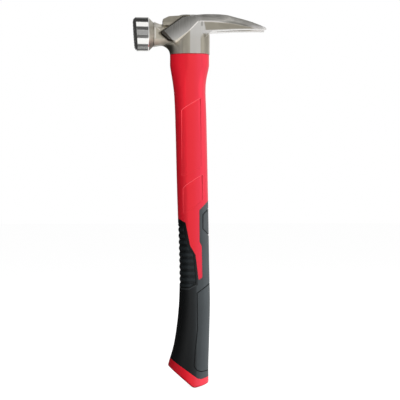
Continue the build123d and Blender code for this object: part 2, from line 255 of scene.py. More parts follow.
class Finish(Board):
    """A procedural material under construction."""

    def __init__(self, name):
        self.material = bpy.data.materials.new(name)
        self.material.use_nodes = True
        self.shade = None
        super().__init__(self.material.node_tree)

    def here(self):
        """Object coordinates in metres."""
        return self.add("ShaderNodeTexCoord", out="Object")

    def place(self, scale=(1.0, 1.0, 1.0), turn=(0.0, 0.0, 0.0)):
        """Object coordinates in metres, scaled and turned for one pattern."""
        return self.add("ShaderNodeMapping", {"Vector": self.here(), "Scale": scale, "Rotation": turn})

    def axes(self):
        """The three object coordinates in millimetres."""
        return [part * (1.0 / MM) for part in self.split(self.here())]

    def noise(self, scale, detail, where=None, roughness=0.55):
        """A noise from 0 to 1, by object coordinates unless it is told where."""
        sockets = {"Vector": where or self.here(), "Scale": scale, "Detail": detail, "Roughness": roughness}
        return self.add("ShaderNodeTexNoise", sockets)

    def blend(self, share, low, high):
        """A colour between two colours or wires. The numbers are the Mix node's sockets for colours."""
        return self.add("ShaderNodeMix", {0: share, 6: self.colour(low), 7: self.colour(high)}, out=2, data_type="RGBA")

    def coat(self, share, colour):
        """Lays a colour over the shade so far, by its share."""
        self.shade = self.blend(share, self.shade, colour)

    def keep(self, share, colour):
        """Keeps only its share of the shade so far, with another colour for the rest."""
        self.shade = self.blend(share, colour, self.shade)

    @staticmethod
    def colour(value):
        """A colour as a socket takes it: a wire as it is, a triple with its alpha."""
        return value if isinstance(value, Wire) else (*value, 1.0)

    def line(self, place, points):
        """A value that runs straight from point to point along the place."""
        value = points[0][1]
        for (low, start), (high, end) in zip(points, points[1:]):
            value = value + self.add("ShaderNodeMapRange", {
                "Value": place, "From Min": low, "From Max": high, "To Min": 0.0, "To Max": end - start})
        return value

    def worn_and_highlit(self, edge):
        """1 along the edges that the rounded normals turn away from the surface's own, 0 elsewhere."""
        own = self.add("ShaderNodeNewGeometry", out="Normal")
        match = self.add("ShaderNodeVectorMath", {0: own, 1: edge}, out="Value", operation="DOT_PRODUCT")
        return (1.0 - match).ramp(0.01, 0.10)

    def facing(self):
        """The three parts of the surface's own normal."""
        return self.split(self.add("ShaderNodeNewGeometry", out="Normal"))

    def open_air(self, distance):
        """1 where the surface lies open, towards 0 in grooves and corners."""
        return self.add("ShaderNodeAmbientOcclusion", {"Distance": distance}, out="AO", samples=8)

    def rounded(self, radius):
        """Normals that round each edge off over the radius."""
        return self.add("ShaderNodeBevel", {"Radius": radius}, samples=4)

    def bump(self, height, distance, strength, normal=None):
        """Normals that stand for a fine relief, on top of others if given."""
        sockets = {"Height": height, "Distance": distance, "Strength": strength}
        if normal:
            sockets["Normal"] = normal
        return self.add("ShaderNodeBump", sockets)

    def surface(self, roughness, normal, metallic=0.0, gloss=0.5):
        """The material in its shade. Gloss is the level of reflection on what isn't metal."""
        shader = self.add("ShaderNodeBsdfPrincipled", {
            "Base Color": self.shade, "Metallic": metallic, "Roughness": roughness, "Normal": normal,
            "Specular IOR Level": gloss})
        return self.closed(shader)

    def glow(self, shade, strength=1.0):
        """A shader that shines by itself."""
        return self.add("ShaderNodeEmission", {"Color": self.colour(shade), "Strength": strength})

    def closed(self, shader):
        """The material, with the shader as its surface."""
        self.add("ShaderNodeOutputMaterial", {"Surface": shader})
        return self.material


class Growth(Board):
    """A Geometry Nodes tree under construction, with named inputs."""

    def __init__(self, name, **inputs):
        super().__init__(bpy.data.node_groups.new(name, "GeometryNodeTree"))
        face = self.tree.interface
        face.new_socket("Geometry", in_out="INPUT", socket_type="NodeSocketGeometry")
        for label, value in inputs.items():
            kind = "NodeSocketInt" if isinstance(value, int) else "NodeSocketFloat"
            face.new_socket(label, in_out="INPUT", socket_type=kind).default_value = value
        face.new_socket("Material", in_out="INPUT", socket_type="NodeSocketMaterial")
        face.new_socket("Geometry", in_out="OUTPUT", socket_type="NodeSocketGeometry")
        self.sockets = self.tree.nodes.new("NodeGroupInput").outputs

    def given(self, label):
        """One of the tree's own inputs."""
        return Wire(self, self.sockets[label])

    def close(self, geometry):
        """The tree's end: real geometry with the given material."""
        real = self.add("GeometryNodeRealizeInstances", {"Geometry": geometry})
        painted = self.add("GeometryNodeSetMaterial", {"Geometry": real, "Material": self.given("Material")})
        self.add("NodeGroupOutput", {"Geometry": painted})

    def grow(self, obj, material, **values):
        """Runs the tree on an object and keeps the result as its plain mesh."""
        modifier = obj.modifiers.new(self.tree.name, "NODES")
        modifier.node_group = self.tree
        values["Material"] = material
        for item in self.tree.interface.items_tree:
            if item.in_out == "INPUT" and item.name in values:
                modifier[item.identifier] = values[item.name]
        settle(obj)


# Finishes. Each mask runs from 0 to 1 and is a product of ramps along the object's axes, which says where a colour
# lies. X runs from the striking face to the claws, Z up the handle, and side is the distance from the middle plane.
# Along X, the bell ends at -55 and its cone at -49, the cheek plates run from -43 to 1, the nail block from -40 to 9,
# the eye from -32 to 12 and the claws from -2 to 72.5. The plates stand 15 off the middle plane

class ForgedSteel(Finish):
    """Forged and part-ground steel: polished bell, satin cheeks, olive neck and eye, streaked claws, with painted
    shade, shadow, highlights and reflections laid over them.
    """

    def __init__(self, steel):
        """The patterns and the places that several layers share."""
        super().__init__("forged_steel")
        self.steel = steel
        x, y, z = self.axes()
        self.x, self.z = x, z
        self.side = y.math("ABSOLUTE")
        self.cloud = self.noise(60.0, 4.0)
        self.fine = self.noise(900.0, 2.0)
        self.along = self.noise(1.0, 5.0, self.place((35.0, 900.0, 1400.0)), 0.7)
        self.ground = self.noise(1.0, 4.0, self.place((1500.0, 200.0, 60.0), (0.0, 0.75, 0.0)), 0.7)
        self.bell = x.ramp(-54.6, -55.4)
        # The claws start behind the leaning edge at the eye's rear (arm) and above the line of the root's foot
        self.arm = x - (396.0 - z) * 0.22 - 3.8
        foot = z - (x - 7.4) * 1.83 - 379.6
        claw = (self.arm.ramp(-0.2, 0.2) * foot.ramp(-0.2, 0.2)).most(x.ramp(11.0, 11.5))
        self.ridge = z - self.line(x, CLAW_RIDGE)
        self.under = z - self.line(x, CLAW_UNDER)
        self.outside = self.side.ramp(11.0, 11.8)
        self.behind_cone = x.ramp(-47.0, -46.0)
        self.cheek = self.side.ramp(14.3, 14.8) * (1.0 - claw) * self.behind_cone
        self.land = x.ramp(-1.0, 5.0) * self.under.ramp(0.9, 0.3) * z.ramp(382.0, 384.0)
        self.eye_front = x.between(-31.5, -26.0, -20.4, -18.6) * z.ramp(380.0, 374.0)
        self.edge = self.rounded(steel.edge * MM)

    def neck_and_eye(self):
        """Olive forging with painted highlights on its flats, the upper neck and the cone's top, and painted shadow and
        shade below the cheek plates' front and under the cone.
        """
        x, z = self.x, self.z
        olive = [c * share for c, share in zip(self.steel.colour, (0.86, 0.82, 0.73))]
        olive = self.blend(x.ramp(6.0, 2.0), olive, scaled(olive, 1.35))
        self.shade = self.blend(self.cloud.ramp(0.35, 0.65) * 0.35, olive, self.blend(0.3, olive, Steel.patch))
        lift = self.arm.ramp(0.0, -0.3) * x.ramp(-0.4, 0.6) * (z - x * 1.6).ramp(374.0, 381.0)
        # Painted highlight on the eye's flats
        facet_highlight = x.between(-11.4, -10.4, 0.0, 1.0).most(lift * self.outside)
        self.coat(facet_highlight * z.ramp(376.0, 386.0, 0.8, 1.0), Steel.facet_highlight)
        # Painted highlight on the upper neck
        collar_highlight = x.ramp(-42.0, -46.0) * z.ramp(388.0, 392.0)
        self.coat(collar_highlight * 0.7, scaled(self.steel.colour, 1.5))
        # Painted highlight on the cone's top
        cone = x.ramp(-48.0, -51.0) * z.ramp(392.0, 386.0)
        self.coat(cone * 0.25, Steel.cone)
        # Painted shadow below the cheek plates' front, over the eye
        throat_shadow = x.between(-44.0, -38.0, -33.0, -26.0) * z.ramp(378.0, 372.0)
        self.coat(throat_shadow * 0.6, Steel.throat_shadow)
        # Painted shade under the neck and the cone
        underside = x.ramp(-38.0, -43.0) * z.ramp(376.0, 369.5)
        self.coat(underside * 0.75, Steel.underside)

    def cheek_plates(self):
        """Satin plates, ground across, and darker towards their upper front by painted shade."""
        slope = self.z - self.x * 0.6
        # Painted shade: the plates are lit low and darker towards their upper front
        plain = self.blend(slope.ramp(390.0, 407.0), Steel.cheek, scaled(self.steel.colour, 0.46))
        plain = self.blend(self.ground.ramp(0.4, 0.7) * 0.30, plain, Steel.grinding)
        self.coat(self.cheek, plain)

    def claws(self):
        """Streaks along the claws, darkened upwards by painted shade; painted highlights on their ridge and towards
        their points; painted shade along a crease, on the top edge at their root and in the groove beside the eye; and
        light grinding below, with a painted highlight in the root's V.
        """
        x, z, along, ridge, colour = self.x, self.z, self.along, self.ridge, self.steel.colour
        crown = x.ramp(-2.0, 4.0) * ridge.ramp(-0.3, 0.5)
        # The crown runs from its lit colour near the ridge to painted shade higher up, broken into streaks by the noise
        height = ridge + (along - 0.5) * 6.0
        low = self.blend(x.ramp(0.0, 26.0), scaled(colour, 0.75), Steel.claw_side)
        # Painted highlight towards the claws' points
        low = self.blend(x.ramp(50.0, 64.0), low, Steel.claw_tip_highlight)
        high = self.blend(x.ramp(18.0, 34.0), scaled(colour, 0.48), scaled(colour, 1.10))
        streaks_and_shade = self.blend(height.ramp(1.0, 7.0), low, high)
        streaks_and_shade = self.blend(along.between(0.52, 0.60, 0.60, 0.68) * 0.5, streaks_and_shade, scaled(colour, 0.35))
        self.coat(crown, streaks_and_shade)
        # Painted shade on the top edge at the claws' root
        cap_shade = z.ramp(400.4, 401.6) * x.between(-9.0, -5.0, 6.0, 14.0) * self.side.ramp(8.0, 10.0)
        self.coat(cap_shade * 0.65, Steel.cap_shade)
        # Painted shade along a crease in the claws
        trough_shade = x.between(27.0, 34.0, 48.0, 55.0) * height.between(-1.0, 0.2, 1.4, 3.2) * ridge.ramp(-0.3, 0.3)
        self.coat(trough_shade * 0.6, Steel.trough_shade)
        # Painted highlights on the ridge and towards the claws' points
        ridge_highlight = (ridge - 0.3).near(0.3, 0.8) * x.between(-1.0, 1.0, 22.0, 30.0) * self.outside
        tip_highlight = x.ramp(54.0, 60.0) * ridge.between(-1.5, -0.5, 2.2, 3.6)
        self.coat((ridge_highlight * 0.75).most(tip_highlight * 0.7), Steel.ridge_highlight)
        # Painted shade in the groove where the claws meet the eye
        hollow_shade = (x - 2.0).near(0.8, 1.4) * z.between(390.0, 392.0, 395.6, 396.2) * self.outside
        self.coat(hollow_shade * 0.55, Steel.hollow_shade)
        # Painted highlight in the root's V, with the light grinding below
        vee_highlight = self.arm.near(0.3, 0.9) * z.between(379.6, 384.0, 395.2, 396.2) * self.outside
        self.coat(self.land.most(vee_highlight * 0.7), Steel.land)

    def front(self):
        """The eye's light front, painted shade on the upper block, painted shadow in the corner under the cheek plate
        and along its front edge, and painted highlight lines on the neck.
        """
        x, z, side, cheek = self.x, self.z, self.side, self.cheek
        self.coat(self.eye_front * 0.85, Steel.eye_front)
        # Painted shade on the upper part of the nail block
        block = x.between(-41.0, -38.0, -18.0, -14.0) * z.ramp(394.5, 396.5) * (1.0 - cheek)
        self.coat(block * 0.32, Steel.block)
        forward = x.ramp(-28.0, -31.0)
        # Painted shadow in the corner under the cheek plate's front
        corner = side.between(12.6, 13.0, 14.75, 14.95) * forward * z.ramp(386.0, 384.0) * self.behind_cone
        self.coat(corner * 0.9, Steel.scale)
        # How far a place is behind the cheek plate's leaning front edge, along which a band of painted shadow runs
        rim = (x + 42.4) * 0.584 + (z - 383.0) * 0.532
        self.coat(cheek * rim.ramp(3.5, 3.0) * forward * 0.85, Steel.scale)
        # Painted highlight lines on the neck
        above = z - NECK_HIGHLIGHT
        top = above.near(0.4, 0.9) * x.between(-51.0, -50.0, -38.0, -36.5)
        slant = (above + (x + 48.5) * 0.88).near(0.4, 0.9) * x.between(-49.0, -48.0, -43.5, -42.5)
        upright = (x + 48.4).near(0.5, 1.1) * z.between(376.5, 378.5, 390.5, 391.5)
        neck = side.ramp(4.0, 5.0) * (1.0 - cheek)
        self.coat(neck * top.most(slant).most(upright) * 0.7, Steel.neck_highlight)

    def edges_and_bell(self):
        """Edges lightened as wear and as a painted highlight, but not at the claws' root, and the bell's polish over
        all.
        """
        root = self.x.between(12.5, 13.5, 16.0, 17.0) * self.ridge.ramp(-0.4, -0.9) * self.under.ramp(0.9, 1.4)
        # Wear and painted highlight on the edges
        worn_and_highlit = self.worn_and_highlit(self.edge) * (1.0 - self.bell) * (1.0 - root) * (0.45 + self.along * 0.5)
        self.coat(worn_and_highlit, Steel.worn_and_highlit)
        self.coat(self.bell, self.steel.polish_colour)

    def finish(self):
        """All of the layers, one over the other, with their roughness and relief."""
        self.neck_and_eye()
        self.cheek_plates()
        self.claws()
        self.front()
        self.edges_and_bell()
        rough = self.cloud.ramp(0.3, 0.7, 0.30, 0.40) + (self.along - 0.5) * 0.10 - self.land * 0.08
        cone = self.x.ramp(-49.4, -50.4)
        rough = (rough + self.eye_front.most(cone) * 0.30) * (1.0 - self.bell) + self.bell * self.steel.polish
        relief = (self.fine * 0.15 + self.along * 0.55) * (1.0 - self.bell)
        return self.surface(rough, self.bump(relief, 0.04 * MM, 0.6, self.edge), metallic=1.0)


def moulded_red(name, handle):
    """Satin red moulding with a very fine grain; painted shade deepens it at the front, a painted highlight makes it
    pinker behind, its edges are pale from wear and a painted highlight, and painted shade darkens its grooves and the
    band just below the seam.
    """
    f = Finish(name)
    grain = f.noise(2600.0, 2.0)
    cloud = f.noise(25.0, 2.0)
    x, _, z = f.axes()
    # A painted sheen, lighter towards the back
    painted_sheen = [c + (0.9 - c) * 0.022 for c in handle.red]
    f.shade = f.blend(cloud.ramp(0.3, 0.7), scaled(handle.red, 0.96), handle.red)
    f.coat(x.ramp(-24.0, -8.0), painted_sheen)
    butt = z.ramp(44.0, 40.0)
    # Painted pink highlight on the back, off the butt
    f.coat(x.ramp(-9.0, 1.0) * (1.0 - butt) * 0.65, Red.back)
    # Painted shade from the front to the back
    f.keep(f.line(x, RED_PAINTED_SHADE).most(butt * 0.9), BLACK)
    # Painted shade on the butt's front
    f.coat(butt * x.ramp(-9.0, -20.0), scaled(handle.red, 0.64))
    # Painted highlight on the butt's back
    f.coat(butt * x.ramp(-9.0, -2.0) * 0.3, Red.butt_highlight)
    edge = f.rounded(0.5 * MM)
    # Wear and painted highlight on the edges
    f.coat(f.worn_and_highlit(edge) * 0.35, Red.worn_and_highlit)
    # Painted shade in grooves and corners
    f.keep(f.open_air(1.5 * MM).ramp(0.4, 0.9), scaled(handle.red, 0.45))
    # Painted highlights on the panels' walls: those that face down, and those that face back near the front
    backward, _, upward = f.facing()
    rear_wall = backward.ramp(0.25, 0.4) * x.ramp(-11.0, -13.0) * 0.75
    lip_highlight = upward.ramp(-0.30, -0.45).most(rear_wall) * z.ramp(130.0, 140.0)
    f.coat(lip_highlight * 0.6, Red.lip_highlight)
    # Painted shade in a band just below the seam with the head
    f.coat(z.ramp(SEAM - 1.2, SEAM - 0.3) * 0.8, scaled(handle.red, 0.22))
    return f.surface(0.42 + (cloud - 0.5) * 0.08, f.bump(grain, 0.02 * MM, 0.5, edge), gloss=0.28)


def grey_rubber(handle):
    """Soft grey overmould: painted shade makes it near black at the front and dark in its grooves and round where the
    finger grip sits, and a painted highlight runs along the finger grip's lower hem.
    """
    f = Finish("grey_rubber")
    x, _, z = f.axes()
    grain = f.noise(1800.0, 3.0)
    cloud = f.noise(18.0, 3.0)
    f.shade = f.blend(cloud.ramp(0.3, 0.75), handle.grey, scaled(handle.grey, 1.25))
    # Painted shade from the front to the back
    f.keep(f.line(x, GREY_PAINTED_SHADE), BLACK)
    hem = z - f.line(x, PAD_HEM)
    # Painted shade round where the finger grip sits
    seat_shade = x.ramp(-2.0, -3.0) * hem.ramp(0.3, 0.8) * z.ramp(152.0, 147.0)
    f.coat(seat_shade * 0.75, SEAT_SHADE)
    # Painted highlight along the finger grip's lower hem
    lip_highlight = hem.between(-0.6, -0.1, 0.3, 0.8) * x.ramp(-4.2, -5.2)
    f.coat(lip_highlight * 0.45, handle.grey)
    # Painted shade in grooves and corners
    f.keep(f.open_air(1.7 * MM).ramp(0.50, 0.92), scaled(handle.grey, 0.08))
    edge = f.rounded(0.4 * MM)
    return f.surface(0.58 + (cloud - 0.5) * 0.1, f.bump(grain, 0.03 * MM, 0.6, edge), gloss=0.26)


def black_rubber(handle):
    """Black ribbed insert, greyer on its ribs' crests by a painted highlight."""
    f = Finish("black_rubber")
    z = f.axes()[2]
    grain = f.noise(2000.0, 3.0)
    cloud = f.noise(30.0, 3.0)
    turn = (RIB_TOP - z) / handle.rib_pitch * (2 * math.pi)
    crest = (turn.math("COSINE") * 0.5 + 0.5).ramp(0.25, 0.85)
    f.shade = f.blend(cloud.ramp(0.3, 0.75), scaled(handle.black, 0.6), handle.black)
    # Painted highlight on the ribs' crests
    f.coat(crest * 0.4, scaled(handle.black, 3.4))
    return f.surface(0.55 + (cloud - 0.5) * 0.1, f.bump(grain, 0.03 * MM, 0.5), gloss=0.26)


def glass_fibre():
    """End of the pultruded rod: straw coloured resin with fine strands along it."""
    f = Finish("glass_fibre")
    strand = f.noise(1.0, 4.0, f.place((2600.0, 2600.0, 40.0)))
    f.shade = f.blend(strand.ramp(0.35, 0.65), (0.50, 0.42, 0.22), (0.78, 0.72, 0.52))
    return f.surface(0.55 + (strand - 0.5) * 0.2, f.bump(strand, 0.04 * MM, 0.5))


def cast_resin():
    """Dark epoxy with a few small bubbles."""
    f = Finish("cast_resin")
    bubble = f.add("ShaderNodeTexVoronoi", {"Vector": f.place(), "Scale": 900.0})
    pits = bubble.ramp(0.18, 0.30)
    f.shade = f.blend(pits, (0.03, 0.028, 0.025), (0.09, 0.08, 0.07))
    return f.surface(0.28 + (1.0 - pits) * 0.3, f.bump(pits, 0.05 * MM, 0.7))


def plated_magnet():
    """Nickel plated magnet, lightly scratched."""
    f = Finish("plated_magnet")
    scratch = f.noise(1.0, 5.0, f.place((300.0, 4000.0, 300.0), (0.0, 0.0, 0.6)))
    f.shade = f.blend(scratch.ramp(0.5, 0.7), (0.72, 0.71, 0.70), (0.58, 0.57, 0.55))
    return f.surface(0.2 + scratch.ramp(0.5, 0.8) * 0.2, f.bump(scratch, 0.01 * MM, 0.4), metallic=1.0)


# Shapes

def placed(name, data):
    """A new object in the scene."""
    obj = bpy.data.objects.new(name, data)
    bpy.context.scene.collection.objects.link(obj)
    return obj


@contextmanager
def edited(source, target=None):
    """A mesh opened for edits, which are then written to the target, or back."""
    form = bmesh.new()
    form.from_mesh(source)
    yield form
    form.to_mesh(source if target is None else target)
    form.free()


def applied(obj):
    """Puts the object's evaluated mesh in place of its modifiers."""
    mesh = bpy.data.meshes.new_from_object(obj.evaluated_get(bpy.context.evaluated_depsgraph_get()))
    obj.modifiers.clear()
    obj.data = mesh
    return obj


def settle(obj):
    """Applies the object's modifiers and shades it smooth between its sharp edges."""
    applied(obj).data.shade_smooth()
    obj.data.set_sharp_from_angle(angle=math.radians(SHARP_ANGLE))


def softened(node, name, width):
    """A CAD node's copy with its triangles merged, flat ones made one face, and its edges broken by a small round."""
    copy = bpy.data.meshes.new(name)
    with edited(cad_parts[node].data, copy) as form:
        bmesh.ops.remove_doubles(form, verts=form.verts, dist=MERGE_COPY * MM)
        bmesh.ops.dissolve_degenerate(form, edges=form.edges, dist=MERGE_COPY * MM)
    with edited(copy) as form:
        bmesh.ops.dissolve_limit(form, angle_limit=math.radians(FLAT_ANGLE), verts=form.verts, edges=form.edges)
    obj = placed(name, copy)
    bevel = obj.modifiers.new("edges", "BEVEL")
    bevel.width = width * MM
    bevel.segments = 2
    bevel.limit_method = "ANGLE"
    bevel.angle_limit = math.radians(ROUNDED_ANGLE)
    bevel.use_clamp_overlap = True
    bpy.context.view_layer.update()
    settle(obj)
    obj.modifiers.new("normals", "WEIGHTED_NORMAL").keep_sharp = True
    return applied(obj)


def level_value(share, table):
    """The handle table's value at a share of its length, by the same smooth curve as the part's source."""
    last = len(LEVELS) - 1
    i = 0
    while i < last - 1 and share > LEVELS[i + 1]:
        i += 1
    slopes = []
    for k in (i, i + 1):
        low, high = max(k - 1, 0), min(k + 1, last)
        slopes.append((table[high] - table[low]) / (LEVELS[high] - LEVELS[low]))
    span = LEVELS[i + 1] - LEVELS[i]
    t = (share - LEVELS[i]) / span
    start = (2 * t**3 - 3 * t**2 + 1) * table[i] + (t**3 - 2 * t**2 + t) * span * slopes[0]
    return start + (3 * t**2 - 2 * t**3) * table[i + 1] + (t**3 - t**2) * span * slopes[1]


def spaced(line, columns):
    """Points evenly spaced along a line, each with its distance to the line's end."""
    if len(line) == 1:
        return [(*line[0], 0.0)] * (columns + 1)
    lengths = [0.0]
    for a, b in zip(line, line[1:]):
        lengths.append(lengths[-1] + math.dist(a, b))
    points = []
    for i in range(columns + 1):
        want = lengths[-1] * i / columns
        k = max(j for j in range(len(line) - 1) if lengths[j] <= want + TINY)
        share = (want - lengths[k]) / max(lengths[k + 1] - lengths[k], TINY)
        x, y = (a + (b - a) * share for a, b in zip(line[k], line[k + 1]))
        points.append((x, y, lengths[-1] - want))
    return points


def pad_half_row(share, edge_x, inset):
    """Points in millimetres at one height, from the handle's front round its side to edge_x, or inset from there.

    The handle's oval has an elliptic nose and then a flat side. Each point comes with its distance to edge_x.
    """
    depth = level_value(share, DEPTHS) * HANDLE_DEPTH
    half = level_value(share, WIDTHS) * HANDLE_WIDTH / 2
    nose = level_value(share, NOSES) * depth
    flat = HANDLE_X + level_value(share, SHIFTS) * HANDLE_DEPTH - depth / 2 + nose
    turns = [math.radians(90 * i / ARC_STEPS) for i in range(ARC_STEPS + 1)]
    line = [(flat - nose * math.cos(a), half * math.sin(a)) for a in turns]
    line.append((max(edge_x, flat + 0.01), half))
    line = [p for p in line if p[0] <= edge_x] or line[:1]
    if len(line) > 1 and line[-1][0] < edge_x < flat:
        line.append((edge_x, half * math.sqrt(max(0.0, 1 - ((flat - edge_x) / nose) ** 2))))
    points = spaced(line, PAD_COLUMNS)
    if inset:
        points = [(x + inset * max(0.0, (flat - x) / nose), y * (1 - inset / half), rim) for x, y, rim in points]
    return points


def pad_row(form, layer, z, low, high, inset):
    """The finger grip's points at height z, from side to side. The layer takes their distance from its outline."""
    share = z / SEAM
    k = max(i for i in range(len(PAD_EDGE) - 1) if PAD_EDGE[i][1] <= share + TINY)
    (xa, za), (xb, zb) = PAD_EDGE[k], PAD_EDGE[k + 1]
    edge_x = HANDLE_X + (xa + (xb - xa) * (share - za) / (zb - za)) * HANDLE_DEPTH
    half_row = pad_half_row(share, edge_x, inset)
    row = []
    for side, points in ((-1, half_row[::-1]), (1, half_row[1:])):
        for x, y, rim in points:
            vert = form.verts.new(Vector((x, side * y, z)) * MM)
            vert[layer] = -1.0 if inset else min(rim * PAD_NEARER, z - low, (high - z) * PAD_NEARER)
            row.append(vert)
    return row


def pad_blank(name):
    """The finger grip without its ribs: an outer and an inner sheet, closed at the sides, the top and the bottom.

    Its attribute "rim" is each outer point's distance from the grip's outline in millimetres, and -1 inside.
    """
    low, high = PAD_EDGE[0][1] * SEAM, PAD_TOP * SEAM
    form = bmesh.new()
    layer = form.verts.layers.float.new("rim")
    heights = [low + (high - low) * r / PAD_ROWS for r in range(PAD_ROWS + 1)]
    outer, inner = ([pad_row(form, layer, z, low, high, inset) for z in heights] for inset in (0.0, PAD_THICKNESS))
    last = 2 * PAD_COLUMNS

    def wall(corners, flip):
        """One face between the sheets."""
        form.faces.new(corners[::-1] if flip else corners)

    for r in range(PAD_ROWS):
        for c in range(last):
            form.faces.new((outer[r][c], outer[r][c + 1], outer[r + 1][c + 1], outer[r + 1][c]))
            form.faces.new((inner[r][c], inner[r + 1][c], inner[r + 1][c + 1], inner[r][c + 1]))
        for c, flip in ((0, False), (last, True)):
            wall((outer[r][c], outer[r + 1][c], inner[r + 1][c], inner[r][c]), flip)
    for r, flip in ((0, True), (PAD_ROWS, False)):
        for c in range(last):
            wall((outer[r][c], outer[r][c + 1], inner[r][c + 1], inner[r][c]), flip)
    bmesh.ops.remove_doubles(form, verts=form.verts, dist=MERGE_PAD * MM)
    bmesh.ops.recalc_face_normals(form, faces=form.faces)
    mesh = bpy.data.meshes.new(name)
    form.to_mesh(mesh)
    form.free()
    mesh.shade_smooth()
    return placed(name, mesh)


def rib_tree():
    """Rounded ribs across a surface, level with Z, that run out before the surface's rim.

    The surface's edge rolls in a little, and a fine grain lies over all of it. Rim, margin and the ends of the ramps
    are in millimetres, and the rest is in metres.
    """
    valley_shape, rib_end, roll_width, roll_depth, grain_scale = 1.6, 2.1, 0.7, 0.35 * MM, 700.0
    g = Growth(
        "finger_ribs", Pitch=RIB_PITCH * MM, Depth=RIB_DEPTH * MM, Top=RIB_TOP * MM, Margin=1.6, Fade=0.6,
        Grain=0.03 * MM, Seed=7)
    z = g.split(g.add("GeometryNodeInputPosition"))[2]
    rim = g.add("GeometryNodeInputNamedAttribute", {"Name": "rim"}, data_type="FLOAT")
    turn = (g.given("Top") - z) / g.given("Pitch") * (2 * math.pi)
    valley = (turn.math("COSINE") * -0.5 + 0.5) ** valley_shape
    inside = (rim / g.given("Margin")).ramp(1.0, rib_end)
    grain_sockets = {"Scale": grain_scale, "Detail": 2.0, "W": g.given("Seed")}
    grain = g.add("ShaderNodeTexNoise", grain_sockets, noise_dimensions="4D")
    roll = (1.0 - rim.ramp(0.0, roll_width)) * roll_depth
    across = g.split(g.add("GeometryNodeInputNormal"))[1].math("ABSOLUTE")
    inside = inside * (1.0 - across ** 3.0 * g.given("Fade"))
    sunk = valley * g.given("Depth") * inside
    move = sunk + roll * (rim > -0.5) + (grain - 0.5) * g.given("Grain") * rim.ramp(0.0, 1.0)
    normal = g.add("GeometryNodeInputNormal")
    offset = g.add("ShaderNodeVectorMath", {0: normal, "Scale": move * -1.0}, operation="SCALE")
    moved = g.add("GeometryNodeSetPosition", {"Geometry": g.given("Geometry"), "Offset": offset})
    g.close(g.add("GeometryNodeSetShadeSmooth", {"Geometry": moved}))
    return g


def tooth_tree():
    """Milled striking face: rows of small pyramids with flattened tips, cut off round the rim by the chamfer."""
    g = Growth(
        "milled_teeth", Rows=10, Pitch=3.0 * MM, Depth=TOOTH_DEPTH * MM, Radius=15.4 * MM, Tip=0.12, Wear=0.12,
        Seed=3)
    pitch = g.given("Pitch")
    side = (g.given("Rows") + 2.0) * pitch
    count = (g.given("Rows") + 2.0) * float(TOOTH_STEPS) + 1.0
    grid = g.add("GeometryNodeMeshGrid", {"Size X": side, "Size Y": side, "Vertices X": count, "Vertices Y": count})
    x, y, _ = g.split(g.add("GeometryNodeInputPosition"))
    cells = [(value / pitch).math("FLOOR") for value in (x, y)]
    # How far each point is from the middle of its tooth, from 0 there to 1 at the groove
    far = [((value / pitch - cell) - 0.5).math("ABSOLUTE") * 2.0 for value, cell in zip((x, y), cells)]
    top = 1.0 - far[0].most(far[1])
    # One chance a tooth: the two factors only keep the teeth's numbers apart
    key = cells[0] * 31.0 + cells[1] * 7.0 + g.given("Seed")
    chance = g.add("ShaderNodeTexWhiteNoise", {"W": key}, noise_dimensions="1D")
    crest = 1.0 - chance * g.given("Wear")
    height = (top / (1.0 - g.given("Tip"))).least(1.0) * crest - 1.0
    radius = (x * x + y * y) ** 0.5
    slope = (radius - g.given("Radius")) * -1.0
    low = g.given("Depth") * -TOOTH_FLOOR
    height = (height * g.given("Depth")).least(slope).most(low)
    # Points beyond the chamfer's foot are drawn in to it
    reach = g.given("Radius") - low
    shrink = (reach / radius.most(0.001 * MM)).least(1.0)
    place = g.add("ShaderNodeCombineXYZ", {"X": x * shrink, "Y": y * shrink, "Z": height})
    outside = radius > reach + pitch / float(TOOTH_STEPS)
    kept = g.add("GeometryNodeDeleteGeometry", {"Geometry": grid, "Selection": outside})
    g.close(g.add("GeometryNodeSetPosition", {"Geometry": kept, "Position": place}))
    return g


def finished(obj, material, slot, *nodes):
    """Gives a piece its finish, seats it on the frame and lets it stand for its CAD nodes, if it has any."""
    obj.data.materials.clear()
    obj.data.materials.append(material)
    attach(obj, "root")
    if nodes:
        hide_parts(*nodes)


def repaint(node, material):
    """A CAD node keeps its shape and takes a new finish."""
    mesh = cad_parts[node]
    for place in mesh.material_slots:
        place.material = material


# Settings

class HammerSteel(bpy.types.PropertyGroup):
    """The head's colours, polish, teeth and edges"""
    colour: bpy.props.FloatVectorProperty(
        name="Steel", description="Colour of the forged steel", subtype="COLOR", default=(0.56, 0.545, 0.505))
    polish_colour: bpy.props.FloatVectorProperty(
        name="Polished steel", description="Colour of the polished bell", subtype="COLOR", default=(0.92, 0.91, 0.89))
    polish: bpy.props.FloatProperty(
        name="Polish", description="Roughness of the polished bell", default=0.12, min=0.02, max=1.0)
    tooth_depth: bpy.props.FloatProperty(
        name="Tooth depth", description="Depth of the striking face's teeth, in millimetres",
        default=TOOTH_DEPTH, min=0.1, max=1.0)
    edge: bpy.props.FloatProperty(
        name="Edge shading", description="Width over which the head's edges look round and worn, in millimetres",
        default=0.5, min=0.05, max=2.0)


class HammerHandle(bpy.types.PropertyGroup):
    """The handle's colours and the finger grip's ribs"""
    red: bpy.props.FloatVectorProperty(
        name="Red", description="Colour of the jacket and the butt", subtype="COLOR", default=(0.80, 0.006, 0.021))
    grey: bpy.props.FloatVectorProperty(
        name="Grey", description="Colour of the rubber grip", subtype="COLOR", default=(0.066, 0.075, 0.080))
    black: bpy.props.FloatVectorProperty(
        name="Black", description="Colour of the finger grip", subtype="COLOR", default=(0.007, 0.009, 0.010))
    rib_pitch: bpy.props.FloatProperty(
        name="Rib pitch", description="From rib to rib of the finger grip, in millimetres",
        default=RIB_PITCH, min=2.0, max=20.0)
    rib_depth: bpy.props.FloatProperty(
        name="Rib depth", description="Depth of the valleys between the ribs, in millimetres",
        default=RIB_DEPTH, min=0.0, max=2.0)


